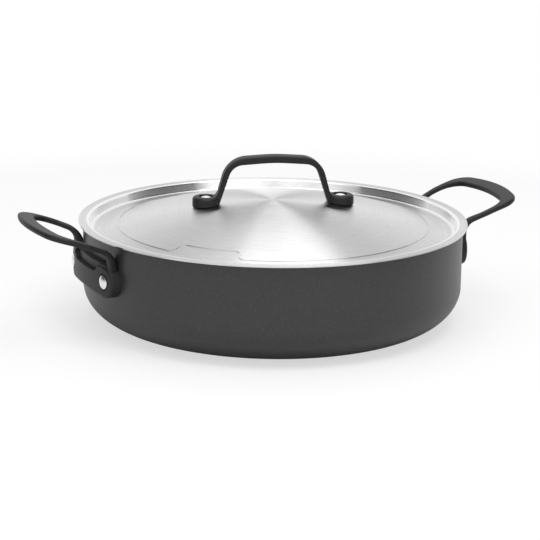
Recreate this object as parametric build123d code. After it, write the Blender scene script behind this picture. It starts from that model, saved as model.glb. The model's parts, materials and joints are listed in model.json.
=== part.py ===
from build123d import *
from math import asin, cos, degrees, radians, sin, sqrt, tan
import os

os.makedirs("parts", exist_ok=True)

# A wide two-handled braiser with a stepped stainless lid.
# Lengths are millimetres and angles are degrees.
# The origin is the centre of the plane that the pan stands on, +Z is up and the side handles lie along X.

quarter_turn = 90.0
half_turn = 180.0

# Pan
pan_radius = 152.0
pan_height = 80.3
wall = 3.0
base_thickness = 4.8
corner_reach = 0.267 * pan_radius
corner_rise = 0.384 * pan_height
rim_round = 0.9
inner_radius = pan_radius - wall
base_radius = pan_radius - corner_reach
overrun = 40.0

# Steel disc set into the underside, with rings of holes through it
disc_radius = 0.86 * base_radius
disc_thickness = 1.0
disc_recess = 0.3
disc_clearance = 0.15
disc_hole_radius = 0.04 * disc_radius
disc_ring_shares = (0.24, 0.48, 0.72)
holes_per_ring_step = 6

# Side handles: a flange on the wall, and a loop that rises and runs outward
flange_thickness = 8.0
face_radius = pan_radius + flange_thickness
flange_edge_round = 2.6
lobe_radius = 12.8
lobe_half_spacing = 34.2
rivet_half_spacing = 36.2
rivet_height = 0.641 * pan_height
rivet_turn = degrees(asin(rivet_half_spacing / face_radius))
web_bottom = rivet_height - 0.85 * lobe_radius
tongue_top = rivet_height + lobe_radius
tongue_thickness = 4.6
scoop_half_width = 0.74 * rivet_half_spacing
scoop_bottom = rivet_height + 0.45 * lobe_radius
scoop_round = 7.0

loop_thickness = 4.8
loop_round = 1.9
loop_top_at_wall = 0.959 * pan_height
loop_reach = 54.5
loop_droop_reach = 0.5 * loop_reach
loop_droop_round = 4.0 * loop_reach
arm_rise = 23.1
tip_rise = 13.6
loop_half_width = 48.0
loop_arm_width = 5.0
loop_tip_width = 13.2
outer_root_share = 0.88
outer_bend_shares = ((0.33, 0.99),)
inner_root_share = 0.75
inner_bend_shares = ((0.1, 0.91), (0.27, 0.99))
arm_bend_round = 0.25 * loop_reach
outer_corner_round = 0.33 * loop_reach
outer_tip_round = 2.6 * loop_half_width
outer_tip_lean = 15.0
inner_corner_round = 0.4 * (loop_reach - loop_tip_width)
inner_tip_round = 2.8 * loop_half_width
inner_tip_lean = 9.4
elbow_back = pan_radius - 5.7
elbow_thickness = 7.2
elbow_back_round = 20.0
elbow_front_round = 10.0
loop_root = rivet_height + 0.1 * lobe_radius
loop_wall_gap = 0.3

# Rivets of the side handles
rivet_shank_radius = 3.2
rivet_hole_clearance = 0.05
rivet_head_radius = 5.3
rivet_recess_radius = 6.7
rivet_recess_depth = 1.2
rivet_head_edge = 1.5
rivet_head_rise = 1.2
rivet_inner_head_radius = 6.5
rivet_inner_head_height = 1.8

# Lid
lid_sheet = 0.9
lid_seat_gap = 0.3
lid_radius = pan_radius + 3.5
lid_rim_top = pan_height + lid_seat_gap + lid_sheet
lid_fit_clearance = 1.2
lid_wall_radius = inner_radius - lid_fit_clearance - lid_sheet
lid_wall_lean = 1.0
lid_well_depth = 7.6
lid_bend = 1.6
lid_panel_bend = 9.0
dome_apex = lid_rim_top + 15.0
panel_radius = 0.9 * inner_radius
panel_edge_rise = 0.8
dome_rise = dome_apex - (lid_rim_top - lid_well_depth + panel_edge_rise)
dome_radius = (panel_radius**2 + dome_rise**2) / (2 * dome_rise)
dome_centre = dome_apex - dome_radius
bead_radius = 0.835 * inner_radius
bead_width = 1.6
bead_height = 0.45
tab_inner_radius = 0.908 * bead_radius
tab_half_angle = 12.8
tab_corner = 0.43 * (bead_radius - tab_inner_radius)

# Lid handle: a flat-topped arch on two round feet
lid_turn = -14.7
tab_turn = -123.4
foot_spacing = 108.8
foot_radius = 10.8
foot_height = 7.4
foot_round = 2.6
foot_bottom_round = 1.3
foot_pocket_radius = 5.7
foot_pocket_depth = 2.0
arch_width = 10.4
arch_round = 1.6
arch_height = 36.9
arch_crown_thickness = 6.0
arch_leg_thickness = 3.7
arch_crown = 2.3
arch_shoulder = 37.3
arch_foot = 48.0
arch_outer_round = 21.0
arch_inner_round = 12.0
arch_crown_round = 150.0
arch_heel_round = 5.0
arch_heel_depth = 0.3
lid_shank_radius = 2.5
lid_rivet_head_radius = 4.2
lid_rivet_head_edge = 1.0
lid_rivet_head_rise = 1.1
lid_rivet_inner_radius = 6.0
lid_rivet_inner_height = 1.7

upright = (Align.CENTER, Align.CENTER, Align.MIN)


def revolved(section):
    """A full turn of a section drawn with radius as X and height as Y."""
    return revolve(Plane.XZ * section, Axis.Z)


def button(radius, edge, rise):
    """A rivet head that stands on Z = 0: a short edge under a shallow dome."""
    dome = (radius**2 + rise**2) / (2 * rise)
    top = edge + rise
    return Cylinder(radius, top, align=upright) & Pos(0, 0, top - dome) * Sphere(dome)


def low_head(radius, height):
    """The flat head inside the pan or the lid, half as high again to sink into a curved wall, with a sloped edge."""
    edge = height / 2
    return Cylinder(radius, height, align=upright) + Pos(0, 0, height) * Cone(radius, radius - 2 * edge, edge, align=upright)


def wall_frame(turn):
    """A frame on the pan's axis at the rivets' height, with Z pointing out through the wall."""
    outward = (cos(radians(turn)), sin(radians(turn)), 0)
    return Plane(origin=(0, 0, rivet_height), x_dir=(0, 0, 1), z_dir=outward)


def mirrored_path(points, radii):
    """A rounded path from a point list and its mirror image across X; the last point is on X."""
    mirrored = [(x, -y) for x, y in reversed(points[:-1])]
    return FilletPolyline(*points, *mirrored, radius=radii + radii[-2::-1])


def enclosed(path):
    """The face between an open path and the straight line that joins its ends."""
    return make_face(path + Line(path @ 1, path @ 0))


# Pan body

def corner_arc(reach, rise):
    return EllipticalCenterArc((base_radius, corner_rise), reach, rise, start_angle=-quarter_turn, arc_size=quarter_turn)


def pan_section():
    pocket = disc_thickness + disc_recess
    pocket_radius = disc_radius + disc_clearance
    outer = corner_arc(corner_reach, corner_rise)
    inner = corner_arc(corner_reach - wall, corner_rise - base_thickness)
    underside = Polyline((0, pocket), (pocket_radius, pocket), (pocket_radius, 0), outer @ 0)
    rim = Polyline(outer @ 1, (pan_radius, pan_height), (inner_radius, pan_height), inner @ 1)
    floor = Polyline(inner @ 0, (0, base_thickness), (0, pocket))
    section = make_face(underside + outer + rim + inner + floor)
    rim_corners = section.vertices().filter_by_position(Axis.Y, pan_height, pan_height)
    return fillet(rim_corners, rim_round)


def rivet_holes():
    hole = Cylinder(rivet_shank_radius + rivet_hole_clearance, face_radius + overrun, align=upright)
    turns = (rivet_turn, -rivet_turn, half_turn + rivet_turn, half_turn - rivet_turn)
    return [wall_frame(turn) * hole for turn in turns]


def pan_body():
    return revolved(pan_section()) - rivet_holes()


def induction_base():
    """The perforated steel disc, flush with the roof of its pocket."""
    sketch = Circle(disc_radius)
    for ring, share in enumerate(disc_ring_shares, start=1):
        sketch -= PolarLocations(share * disc_radius, ring * holes_per_ring_step) * Circle(disc_hole_radius)
    return Pos(0, 0, disc_recess) * extrude(sketch, disc_thickness)


# Side handle, built at +X

def flange_outline():
    """The flange seen along the handle: a web between two lobes, its underside arched to run smoothly into both."""
    drop = rivet_height - web_bottom
    arch_radius = (lobe_half_spacing**2 + drop**2 - lobe_radius**2) / (2 * (lobe_radius - drop))
    touch = lobe_half_spacing * arch_radius / (arch_radius + lobe_radius)
    above = (Align.CENTER, Align.MIN)
    below = (Align.CENTER, Align.MAX)
    outline = Pos(0, rivet_height) * Rectangle(2 * touch, lobe_radius, align=below)
    outline -= Pos(0, web_bottom - arch_radius) * Circle(arch_radius)
    outline += Pos(0, rivet_height) * Rectangle(2 * lobe_half_spacing, lobe_radius, align=above)
    for side in (1, -1):
        outline += Pos(side * lobe_half_spacing, rivet_height) * Circle(lobe_radius)
    return outline


def between_cylinders(inner, outer):
    height = pan_height + overrun
    return Cylinder(outer, height, align=upright) - Cylinder(inner, height, align=upright)


def handle_flange():
    prism = extrude(Plane.YZ * flange_outline(), face_radius + overrun)
    plate = prism & between_cylinders(pan_radius, face_radius)
    face = plate.faces().sort_by(Axis.X)[-1]
    plate = fillet(face.edges(), flange_edge_round)
    scoop = Pos(0, scoop_bottom + overrun / 2) * RectangleRounded(2 * scoop_half_width, overrun, scoop_round)
    cut = extrude(Plane.YZ * scoop, face_radius + overrun)
    return plate - (cut & between_cylinders(pan_radius + tongue_thickness, face_radius + overrun))


def loop_outline(bends, half_width, apex, corner_round, tip_round, tip_lean):
    """One outline of the loop from above: along the arm's bends, round the corner and over the bowed tip."""
    peak = apex + tip_round * (1 / cos(radians(tip_lean)) - 1)
    corner = (peak - half_width * tan(radians(tip_lean)), half_width)
    radii = [arm_bend_round] * (len(bends) - 1) + [corner_round, tip_round]
    return mirrored_path(bends + [corner, (peak, 0)], radii)


def arm_bends(root_share, bend_shares, half_width):
    """One side of an arm from above: its root in the wall, then its bends as shares of the loop's reach and width."""
    root = (elbow_back - loop_thickness, root_share * half_width)
    return [root] + [(pan_radius + reach * loop_reach, share * half_width) for reach, share in bend_shares]


def loop_plan():
    """The loop seen from above: its arms narrow from the roots and its tip is wide."""
    outer_bends = arm_bends(outer_root_share, outer_bend_shares, loop_half_width)
    outer_apex = pan_radius + loop_reach
    outer = loop_outline(outer_bends, loop_half_width, outer_apex, outer_corner_round, outer_tip_round, outer_tip_lean)
    inner_half = loop_half_width - loop_arm_width
    inner_bends = arm_bends(inner_root_share, inner_bend_shares, inner_half)
    inner_apex = outer_apex - loop_tip_width
    inner = loop_outline(inner_bends, inner_half, inner_apex, inner_corner_round, inner_tip_round, inner_tip_lean)
    return enclosed(outer) - enclosed(inner)


def loop_side(x, bend, drop):
    """One side of the loop's profile: up from the root at x, round the elbow, along the arm, and flatter to the tip."""
    arm_rate, tip_rate = tan(radians(arm_rise)), tan(radians(tip_rise))
    height = loop_top_at_wall - drop
    middle = height + arm_rate * loop_droop_reach
    points = [
        (x, loop_root),
        (x, height + arm_rate * (x - pan_radius)),
        (pan_radius + loop_droop_reach, middle),
        (pan_radius + loop_reach + wall, middle + tip_rate * (loop_reach + wall - loop_droop_reach)),
    ]
    return FilletPolyline(*points, radius=[bend, loop_droop_round])


def loop_profile():
    upper = loop_side(elbow_back, elbow_back_round, 0)
    lower = loop_side(elbow_back + elbow_thickness, elbow_front_round, loop_thickness)
    return make_face(upper + Line(upper @ 1, lower @ 1) + lower + Line(lower @ 0, upper @ 0))


def handle_loop():
    """The band that its two views share, with rounded edges, kept just off the wall."""
    side = extrude(Plane.XZ * loop_profile(), loop_half_width + overrun, both=True)
    loop = side & extrude(loop_plan(), pan_height + overrun, dir=(0, 0, 1))
    root_face = loop.faces().sort_by(Axis.Z)[0]
    loop = fillet(loop.edges() - root_face.edges(), loop_round)
    return loop - Cylinder(pan_radius + loop_wall_gap, pan_height + overrun, align=upright)


def side_handle():
    handle = handle_flange() + handle_loop()
    recess = Cylinder(rivet_recess_radius, overrun, align=upright)
    floor = Pos(0, 0, face_radius - rivet_recess_depth)
    handle -= [wall_frame(turn) * floor * recess for turn in (rivet_turn, -rivet_turn)]
    return handle - rivet_holes()


def side_rivet(turn):
    """A rivet along the frame's Z: seated head outside, shank through flange and wall, low head inside."""
    floor = face_radius - rivet_recess_depth
    outside = Pos(0, 0, floor) * button(rivet_head_radius, rivet_head_edge, rivet_head_rise)
    shank_start = inner_radius - rivet_inner_head_height / 2
    shank = Pos(0, 0, shank_start) * Cylinder(rivet_shank_radius, floor - shank_start, align=upright)
    inside = low_head(rivet_inner_head_radius, rivet_inner_head_height)
    inside = Pos(0, 0, inner_radius + rivet_inner_head_height / 2) * Rot(half_turn, 0, 0) * inside
    inside = wall_frame(turn) * inside & Cylinder(inner_radius, pan_height, align=upright)
    return wall_frame(turn) * (outside + shank) + inside


# Lid

def lid_section():
    """The sheet's section: rim, wall of the well, ledge and dome, one thickness throughout."""
    well = lid_rim_top - lid_well_depth
    edge_height = well + panel_edge_rise
    slope = panel_radius / (edge_height - dome_centre)
    ledge_end = panel_radius + panel_edge_rise / slope
    rim_to_panel = FilletPolyline(
        (lid_radius, lid_rim_top),
        (lid_wall_radius, lid_rim_top),
        (lid_wall_radius - lid_wall_lean, well),
        (ledge_end, well),
        (panel_radius, edge_height),
        radius=[lid_bend, lid_bend, lid_panel_bend],
    )
    half_angle = degrees(asin(panel_radius / dome_radius))
    dome = CenterArc((0, dome_centre), dome_radius, quarter_turn - half_angle, half_angle)
    sheet = offset(rim_to_panel + dome, lid_sheet, side=Side.LEFT, closed=True)
    return make_face(sheet.edges())


def bead_outline(grow):
    """The closed line that the bead follows, moved outward: a circle that steps in round a bare tab."""
    ring = CenterArc((0, 0), bead_radius, tab_half_angle, 2 * (half_turn - tab_half_angle))
    step = CenterArc((0, 0), tab_inner_radius, -tab_half_angle, 2 * tab_half_angle)
    plateau = make_face(ring + Line(ring @ 1, step @ 0) + step + Line(step @ 1, ring @ 0))
    plateau = fillet(plateau.vertices(), tab_corner)
    return Rot(0, 0, tab_turn) * offset(plateau, grow)


def lid():
    sheet = revolved(lid_section())
    band = bead_outline(bead_width / 2) - bead_outline(-bead_width / 2)
    prism = extrude(band, dome_apex + overrun, dir=(0, 0, 1))
    body = (sheet - prism) + (Pos(0, 0, bead_height) * sheet & prism)
    hole = Cylinder(lid_shank_radius + rivet_hole_clearance, dome_apex + overrun, align=upright)
    body -= [Pos(side * foot_spacing / 2, 0, 0) * hole for side in (1, -1)]
    return body


# Lid handle, built along X before the lid's own turn

foot_seat = dome_centre + sqrt(dome_radius**2 - (foot_spacing / 2)**2)
foot_top = foot_seat + foot_height


def arch_profile():
    """The arch seen from the front: thick at its crown, thinner down its legs, with heels that run onto the feet."""
    crown = dome_apex + arch_height
    heel = foot_top - arch_heel_depth
    leg_rate = (arch_foot - arch_shoulder) / (crown - arch_crown - foot_seat)
    ankle = arch_foot - leg_rate * (heel - foot_seat)
    over = mirrored_arch(
        [
            (-foot_spacing / 2, foot_seat),
            (-foot_spacing / 2, heel),
            (-ankle, heel),
            (-arch_shoulder, crown - arch_crown),
            (0, crown),
        ],
        [arch_heel_depth, arch_heel_round, arch_outer_round, arch_crown_round],
    )
    under = mirrored_arch(
        [
            (arch_leg_thickness - arch_foot, foot_seat),
            (arch_leg_thickness - arch_shoulder, crown - arch_crown - arch_crown_thickness),
            (0, crown - arch_crown_thickness),
        ],
        [arch_inner_round, arch_crown_round],
    )
    return enclosed(over) - enclosed(under)


def mirrored_arch(points, radii):
    """A rounded path from a point list and its mirror image across Y; the last point is on Y."""
    mirrored = [(-x, y) for x, y in reversed(points[:-1])]
    return FilletPolyline(*points, *mirrored, radius=radii + radii[-2::-1])


def lid_handle():
    arch = extrude(Plane.XZ * arch_profile(), arch_width / 2, both=True)
    ends = arch.faces().filter_by(Plane.XZ)
    arch = fillet(ends.edges().filter_by_position(Axis.Z, foot_top, dome_apex + overrun), arch_round)
    dome = Pos(0, 0, dome_centre) * Sphere(dome_radius)
    handle = arch - dome
    for side in (1, -1):
        foot = Pos(side * foot_spacing / 2, 0, foot_seat - foot_height)
        pad = foot * Cylinder(foot_radius, 2 * foot_height, align=upright) - dome
        bottom, *_, top = pad.edges().sort_by(Axis.Z)
        handle += fillet([bottom], foot_bottom_round).fillet(foot_round, [top])
    for side in (1, -1):
        above = Pos(side * foot_spacing / 2, 0, foot_top - foot_pocket_depth)
        handle -= above * Cylinder(foot_pocket_radius, foot_pocket_depth + arch_round, align=upright)
        shank = Pos(side * foot_spacing / 2, 0, 0)
        handle -= shank * Cylinder(lid_shank_radius + rivet_hole_clearance, foot_top, align=upright)
    return handle


def lid_rivet(side):
    centre = Pos(side * foot_spacing / 2, 0, 0)
    floor = foot_top - foot_pocket_depth
    outside = Pos(0, 0, floor) * button(lid_rivet_head_radius, lid_rivet_head_edge, lid_rivet_head_rise)
    underside = foot_seat - lid_sheet
    shank = Pos(0, 0, underside - lid_rivet_inner_height / 2)
    shank *= Cylinder(lid_shank_radius, floor - underside + lid_rivet_inner_height / 2, align=upright)
    inside = low_head(lid_rivet_inner_radius, lid_rivet_inner_height)
    inside = Pos(0, 0, underside + lid_rivet_inner_height / 2) * Rot(half_turn, 0, 0) * inside
    inside = centre * inside & Pos(0, 0, dome_centre) * Sphere(dome_radius - lid_sheet)
    return centre * (outside + shank) + inside


def assembly():
    """Every node by name, in place."""
    handle = side_handle()
    lid_place = Rot(0, 0, lid_turn)
    return {
        "pan_body": pan_body(),
        "induction_base": induction_base(),
        "right_handle": handle,
        "left_handle": Rot(0, 0, half_turn) * handle,
        "right_handle_rivet_front": side_rivet(-rivet_turn),
        "right_handle_rivet_rear": side_rivet(rivet_turn),
        "left_handle_rivet_front": side_rivet(half_turn + rivet_turn),
        "left_handle_rivet_rear": side_rivet(half_turn - rivet_turn),
        "lid": lid_place * lid(),
        "lid_handle": lid_place * lid_handle(),
        "lid_handle_rivet_left": lid_place * lid_rivet(-1),
        "lid_handle_rivet_right": lid_place * lid_rivet(1),
    }


for name, piece in assembly().items():
    export_step(piece, f"parts/{name}.step")
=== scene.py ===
import json
from math import cos, radians, sin

import bpy
from mathutils import Matrix, Vector

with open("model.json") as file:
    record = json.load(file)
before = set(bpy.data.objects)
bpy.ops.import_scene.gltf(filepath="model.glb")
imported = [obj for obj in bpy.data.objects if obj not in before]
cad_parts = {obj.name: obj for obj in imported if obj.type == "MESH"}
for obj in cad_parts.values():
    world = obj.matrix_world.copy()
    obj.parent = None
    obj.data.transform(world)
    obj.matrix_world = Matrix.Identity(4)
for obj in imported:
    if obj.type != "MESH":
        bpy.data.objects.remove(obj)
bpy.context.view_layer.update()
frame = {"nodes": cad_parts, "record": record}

# A braiser with a stepped lid on a white floor. Lengths are metres and angles are degrees.

millimetre = 0.001

# Camera: the photograph's view, from the front left
sensor_width = 36.0
camera_lens = 132.27
camera_distance = 1.6
camera_azimuth = -23.5
camera_elevation = 14.72
camera_roll = 0.886
aim_height = 0.05
aim_right = -0.00184
aim_up = -0.01143

# Floor: matt white, running out into an even white round the object
floor_half = 6.0
floor_white = 0.93
floor_fade_start = 0.36
floor_fade_end = 0.75
floor_least_fade = 0.62

# Tall dark cards at both sides, which show only in reflections; turns are from the camera's direction
card_distance = 1.1
card_width = 1.2
card_height = 1.4
card_turns = (-91.0, 84.0)
card_weave = 25.0 * millimetre
card_detail = 2.0
card_tones = (0.03, 0.036)

# Studio light: an even surround, an overhead panel that runs away from the camera, and two high side panels
world_strength = 0.64
shown_strength = 1.0
lamps = {
    # name: (turn from the camera's direction, elevation, distance, width, height, watts)
    "overhead": (90.0, 85.6, 1.3, 1.7, 0.62, 4.1),
    "left": (-38.0, 62.0, 1.4, 0.7, 0.6, 2.6),
    "right": (42.0, 62.0, 1.4, 0.7, 0.6, 4.4),
}

# The range that most of a noise lies in
noise_low = 0.3
noise_high = 0.7

# Dark anodised aluminium: grains run at random from the first tone to the second, and a share of them on to
# the third, a painted glint standing in for sparkle
anodised_tones = (0.02, 0.0245, 0.042)
anodised_painted_glint_share = 0.2
anodised_grain = 0.5 * millimetre
anodised_texture = 0.7 * millimetre
anodised_detail = 2.0
anodised_bump_strength = 0.12
anodised_bump_depth = 0.04 * millimetre
anodised_roughness = 0.4

# Satin coating of the handles
coating_tones = (0.009, 0.012)
coating_texture = 0.9 * millimetre
coating_detail = 3.0
coating_bump_strength = 0.2
coating_bump_depth = 0.04 * millimetre
coating_roughness = 0.5
coating_ior = 1.4

# Bright rivets
rivet_tones = (0.8, 0.88)
rivet_texture = 0.8 * millimetre
rivet_detail = 2.0
rivet_bump_strength = 0.2
rivet_bump_depth = 0.03 * millimetre
rivet_roughness = 0.3

# Steel brushed in circles: a line runs on for a part of a radian, and highlights stretch across the lines
grain_run = 0.2
grain_detail = 4.0
grain_dark_share = 0.8
grain_bump_strength = 0.4
grain_stretch = 1.0
grain_stretch_turn = 0.25
turned_steels = {
    # name: (tone, roughness, line width, line depth, radius of the polished band)
    "lid_steel": (0.7, 0.28, 0.35 * millimetre, 0.03 * millimetre, 146.2 * millimetre),
    "base_steel": (0.6, 0.35, 0.6 * millimetre, 0.06 * millimetre, 95.0 * millimetre),
}

# Polished band: the lid's upright wall and the outer edge of the steel disc
polished_tone = 0.88
polished_roughness = 0.2
polished_half_width = 2.8 * millimetre
polished_fade = 0.5 * millimetre


def straight_axes():
    """The camera's right, up and backward axes before its roll."""
    azimuth, elevation = radians(camera_azimuth), radians(camera_elevation)
    back = Vector((sin(azimuth) * cos(elevation), -cos(azimuth) * cos(elevation), sin(elevation)))
    right = Vector((cos(azimuth), sin(azimuth), 0))
    return right, back.cross(right), back


def add_camera():
    right, up, back = straight_axes()
    aim = Vector((0, 0, aim_height)) + right * aim_right + up * aim_up
    roll = radians(camera_roll)
    rolled_right = right * cos(roll) + up * sin(roll)
    rolled_up = up * cos(roll) - right * sin(roll)
    camera = bpy.data.objects.new("camera", bpy.data.cameras.new("camera"))
    camera.data.sensor_width = sensor_width
    camera.data.lens = camera_lens
    turn = Matrix((rolled_right, rolled_up, back)).transposed().to_4x4()
    camera.matrix_world = Matrix.Translation(aim + back * camera_distance) @ turn
    bpy.context.scene.collection.objects.link(camera)
    bpy.context.scene.camera = camera


# Node helpers

def new_material(name):
    """An empty node material with its output: the material, its tree and the surface socket."""
    material = bpy.data.materials.new(name)
    material.use_nodes = True
    tree = material.node_tree
    tree.nodes.clear()
    output = tree.nodes.new("ShaderNodeOutputMaterial")
    return material, tree, output.inputs["Surface"]


def add(tree, kind, inputs=None, **settings):
    """A node with its settings and inputs; an input takes a value or another node's socket."""
    node = tree.nodes.new(kind)
    for name, value in settings.items():
        setattr(node, name, value)
    for name, value in (inputs or {}).items():
        if isinstance(value, bpy.types.NodeSocket):
            tree.links.new(value, node.inputs[name])
        else:
            node.inputs[name].default_value = value
    return node


def maths(tree, operation, *values):
    """The result of one operation on numbers or sockets."""
    return add(tree, "ShaderNodeMath", dict(enumerate(values)), operation=operation).outputs["Value"]


def grey(level):
    return (level, level, level, 1)


def ramp(tree, factor, stops):
    """A colour ramp from grey levels: (place, level) pairs."""
    node = add(tree, "ShaderNodeValToRGB", {"Fac": factor})
    elements = node.color_ramp.elements
    while len(elements) < len(stops):
        elements.new(1)
    for element, (place, level) in zip(elements, stops):
        element.position = place
        element.color = grey(level)
    return node.outputs["Color"]


def tones_of_noise(tree, noise, tones):
    """A grey that runs from one tone to another with a noise."""
    return ramp(tree, noise, list(zip((noise_low, noise_high), tones)))


def object_place(tree):
    return add(tree, "ShaderNodeTexCoord").outputs["Object"]


def texture(tree, size, detail):
    """Noise with lumps of about the given size."""
    return add(tree, "ShaderNodeTexNoise", {
        "Vector": object_place(tree), "Scale": 1 / size, "Detail": detail,
    }).outputs["Fac"]


def bumped(tree, height, strength, depth):
    return add(tree, "ShaderNodeBump", {
        "Height": height, "Strength": strength, "Distance": depth,
    }).outputs["Normal"]


# Stage

def seen_directly(tree):
    """1 for camera, glossy and transmission rays."""
    rays = add(tree, "ShaderNodeLightPath").outputs
    by_metal_or_glass = maths(tree, "MAXIMUM", rays["Is Glossy Ray"], rays["Is Transmission Ray"])
    return maths(tree, "MAXIMUM", rays["Is Camera Ray"], by_metal_or_glass)


def floor_material():
    """Matt white that keeps the shadow and fades to plain white far out, in what the camera and metal see."""
    material, tree, surface = new_material("floor_white")
    place = add(tree, "ShaderNodeNewGeometry").outputs["Position"]
    distance = add(tree, "ShaderNodeVectorMath", {0: place}, operation="LENGTH").outputs["Value"]
    fade = add(tree, "ShaderNodeMapRange", {
        "Value": distance, "From Min": floor_fade_start, "From Max": floor_fade_end,
    }, interpolation_type="SMOOTHSTEP").outputs["Result"]
    far_out = maths(tree, "MULTIPLY", fade, seen_directly(tree))
    camera_ray = add(tree, "ShaderNodeLightPath").outputs["Is Camera Ray"]
    lifted = maths(tree, "MULTIPLY", camera_ray, floor_least_fade)
    amount = maths(tree, "MAXIMUM", far_out, lifted)
    matt = add(tree, "ShaderNodeBsdfDiffuse", {"Color": grey(floor_white)}).outputs["BSDF"]
    white = add(tree, "ShaderNodeEmission", {"Color": grey(1), "Strength": shown_strength})
    mixed = add(tree, "ShaderNodeMixShader", {
        "Fac": amount, 1: matt, 2: white.outputs["Emission"],
    }).outputs["Shader"]
    tree.links.new(mixed, surface)
    return material


def add_floor():
    mesh = bpy.data.meshes.new("floor")
    corners = [(x * floor_half, y * floor_half, 0) for x, y in ((-1, -1), (1, -1), (1, 1), (-1, 1))]
    mesh.from_pydata(corners, [], [(0, 1, 2, 3)])
    floor = bpy.data.objects.new("floor", mesh)
    mesh.materials.append(floor_material())
    bpy.context.scene.collection.objects.link(floor)


def add_world():
    """An even soft surround that shows as plain white."""
    world = bpy.data.worlds.new("studio")
    world.use_nodes = True
    tree = world.node_tree
    tree.nodes.clear()
    strength = add(tree, "ShaderNodeMapRange", {
        "Value": seen_directly(tree), "To Min": world_strength, "To Max": shown_strength,
    }).outputs["Result"]
    background = add(tree, "ShaderNodeBackground", {"Color": grey(1), "Strength": strength})
    add(tree, "ShaderNodeOutputWorld", {"Surface": background.outputs["Background"]})
    bpy.context.scene.world = world


def add_lamps():
    """Rectangular panels round the pan, each turned to face it."""
    for name, (turn, elevation, distance, width, height, watts) in lamps.items():
        light = bpy.data.lights.new(name, "AREA")
        light.shape = "RECTANGLE"
        light.size = width
        light.size_y = height
        light.energy = watts
        azimuth, rise = radians(turn + camera_azimuth), radians(elevation)
        away = Vector((sin(azimuth) * cos(rise), -cos(azimuth) * cos(rise), sin(rise)))
        lamp = bpy.data.objects.new(name, light)
        side = Vector((cos(azimuth), sin(azimuth), 0))
        turned = Matrix((side, away.cross(side), away)).transposed().to_4x4()
        lamp.matrix_world = Matrix.Translation(away * distance) @ turned
        bpy.context.scene.collection.objects.link(lamp)


def card_material():
    material, tree, surface = new_material("card_dark")
    tone = tones_of_noise(tree, texture(tree, card_weave, card_detail), card_tones)
    tree.links.new(add(tree, "ShaderNodeBsdfDiffuse", {"Color": tone}).outputs["BSDF"], surface)
    return material


def add_cards():
    """Tall dark cards at both sides that stop no light and stay out of the camera's sight."""
    dark = card_material()
    half = card_width / 2
    for number, turn in enumerate(card_turns):
        mesh = bpy.data.meshes.new(f"card_{number}")
        corners = [(-half, 0, 0), (half, 0, 0), (half, 0, card_height), (-half, 0, card_height)]
        mesh.from_pydata(corners, [], [(0, 1, 2, 3)])
        mesh.materials.append(dark)
        card = bpy.data.objects.new(f"card_{number}", mesh)
        towards = Matrix.Rotation(radians(turn + camera_azimuth), 4, "Z")
        card.matrix_world = towards @ Matrix.Translation((0, -card_distance, 0))
        card.visible_camera = False
        card.visible_diffuse = False
        card.visible_shadow = False
        bpy.context.scene.collection.objects.link(card)


# Materials

def anodised():
    """Dark hard-anodised aluminium: satin, with random grain tones whose brightest grains are a painted
    sparkle.
    """
    material, tree, surface = new_material("anodised_aluminium")
    grains_and_painted_glints = add(tree, "ShaderNodeTexVoronoi", {"Vector": object_place(tree), "Scale": 1 / anodised_grain})
    cell = add(tree, "ShaderNodeSeparateColor", {"Color": grains_and_painted_glints.outputs["Color"]}).outputs["Red"]
    # The brightest share of the grains is painted glint: a lighter base colour standing in for sparkle
    tone = ramp(tree, cell, list(zip((0, 1 - anodised_painted_glint_share, 1), anodised_tones)))
    noise = texture(tree, anodised_texture, anodised_detail)
    shader = add(tree, "ShaderNodeBsdfPrincipled", {
        "Base Color": tone,
        "Roughness": anodised_roughness,
        "Normal": bumped(tree, noise, anodised_bump_strength, anodised_bump_depth),
    })
    tree.links.new(shader.outputs["BSDF"], surface)
    return material


def coating():
    """Dark satin coating on cast metal."""
    material, tree, surface = new_material("handle_coating")
    noise = texture(tree, coating_texture, coating_detail)
    shader = add(tree, "ShaderNodeBsdfPrincipled", {
        "Base Color": tones_of_noise(tree, noise, coating_tones),
        "Roughness": coating_roughness,
        "IOR": coating_ior,
        "Normal": bumped(tree, noise, coating_bump_strength, coating_bump_depth),
    })
    tree.links.new(shader.outputs["BSDF"], surface)
    return material


def rivet_steel():
    """Bright stainless, faintly uneven."""
    material, tree, surface = new_material("rivet_steel")
    noise = texture(tree, rivet_texture, rivet_detail)
    shader = add(tree, "ShaderNodeBsdfPrincipled", {
        "Base Color": tones_of_noise(tree, noise, rivet_tones),
        "Metallic": 1.0,
        "Roughness": rivet_roughness,
        "Normal": bumped(tree, noise, rivet_bump_strength, rivet_bump_depth),
    })
    tree.links.new(shader.outputs["BSDF"], surface)
    return material


def level_place(tree):
    """The place without its height, and its distance from the vertical axis."""
    flat = add(tree, "ShaderNodeVectorMath", {0: object_place(tree), 1: (1, 1, 0)}, operation="MULTIPLY")
    radius = add(tree, "ShaderNodeVectorMath", {0: flat.outputs["Vector"]}, operation="LENGTH")
    return flat.outputs["Vector"], radius.outputs["Value"]


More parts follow.
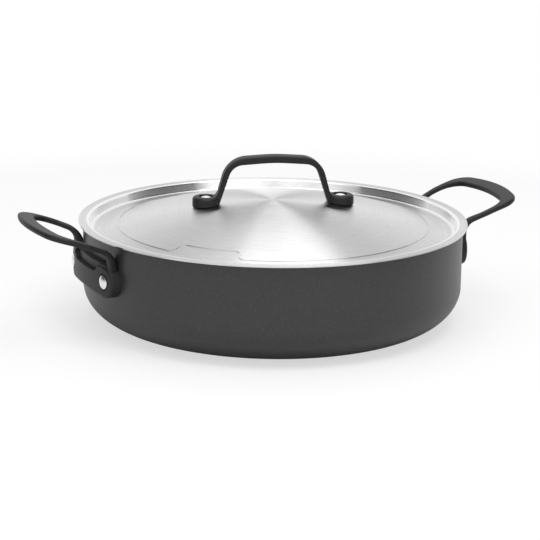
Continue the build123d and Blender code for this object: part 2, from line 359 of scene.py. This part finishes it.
def circular_grain(tree, line_width):
    """Fine arcs round the vertical axis: thin across, and fading over a part of a turn along."""
    flat, radius = level_place(tree)
    outward = add(tree, "ShaderNodeVectorMath", {0: flat}, operation="NORMALIZE").outputs["Vector"]
    along = add(tree, "ShaderNodeVectorMath", {0: outward, "Scale": 1 / grain_run}, operation="SCALE")
    across = maths(tree, "MULTIPLY", radius, 1 / line_width)
    lift = add(tree, "ShaderNodeCombineXYZ", {"Z": across}).outputs["Vector"]
    grain = add(tree, "ShaderNodeVectorMath", {0: along.outputs["Vector"], 1: lift}, operation="ADD")
    noise = add(tree, "ShaderNodeTexNoise", {
        "Vector": grain.outputs["Vector"], "Scale": 1.0, "Detail": grain_detail,
    })
    return noise.outputs["Fac"]


def turned_steel(name):
    """Steel brushed in circles round the vertical axis, with a polished band at one radius."""
    tone, roughness, line_width, line_depth, band_radius = turned_steels[name]
    material, tree, surface = new_material(name)
    lines = circular_grain(tree, line_width)
    radius = level_place(tree)[1]
    off_band = maths(tree, "ABSOLUTE", maths(tree, "SUBTRACT", radius, band_radius))
    brushed = add(tree, "ShaderNodeMapRange", {
        "Value": off_band, "From Min": polished_half_width, "From Max": polished_half_width + polished_fade,
    }).outputs["Result"]
    finish = add(tree, "ShaderNodeMapRange", {
        "Value": brushed, "To Min": polished_roughness, "To Max": roughness,
    }).outputs["Result"]
    grain_tone = tones_of_noise(tree, lines, (grain_dark_share * tone, tone))
    colour = add(tree, "ShaderNodeMix", {
        0: brushed, 6: grey(polished_tone), 7: grain_tone,
    }, data_type="RGBA").outputs[2]
    tangent = add(tree, "ShaderNodeTangent", direction_type="RADIAL", axis="Z").outputs["Tangent"]
    shader = add(tree, "ShaderNodeBsdfPrincipled", {
        "Base Color": colour,
        "Metallic": 1.0,
        "Roughness": finish,
        "Anisotropic": grain_stretch,
        "Anisotropic Rotation": grain_stretch_turn,
        "Normal": bumped(tree, lines, grain_bump_strength, line_depth),
        "Tangent": tangent,
    })
    tree.links.new(shader.outputs["BSDF"], surface)
    return material


def dress_nodes():
    finishes = {
        "anodised_aluminium": anodised(),
        "handle_coating": coating(),
        "rivet_steel": rivet_steel(),
        "lid_steel": turned_steel("lid_steel"),
        "base_steel": turned_steel("base_steel"),
    }
    for part in frame["record"]["subparts"]:
        piece = frame["nodes"][part["node"]]
        for slot in piece.material_slots:
            slot.material = finishes[part["material_slot"]]


add_camera()
add_floor()
add_world()
add_lamps()
add_cards()
dress_nodes()

bpy.context.scene.view_settings.view_transform = "Standard"
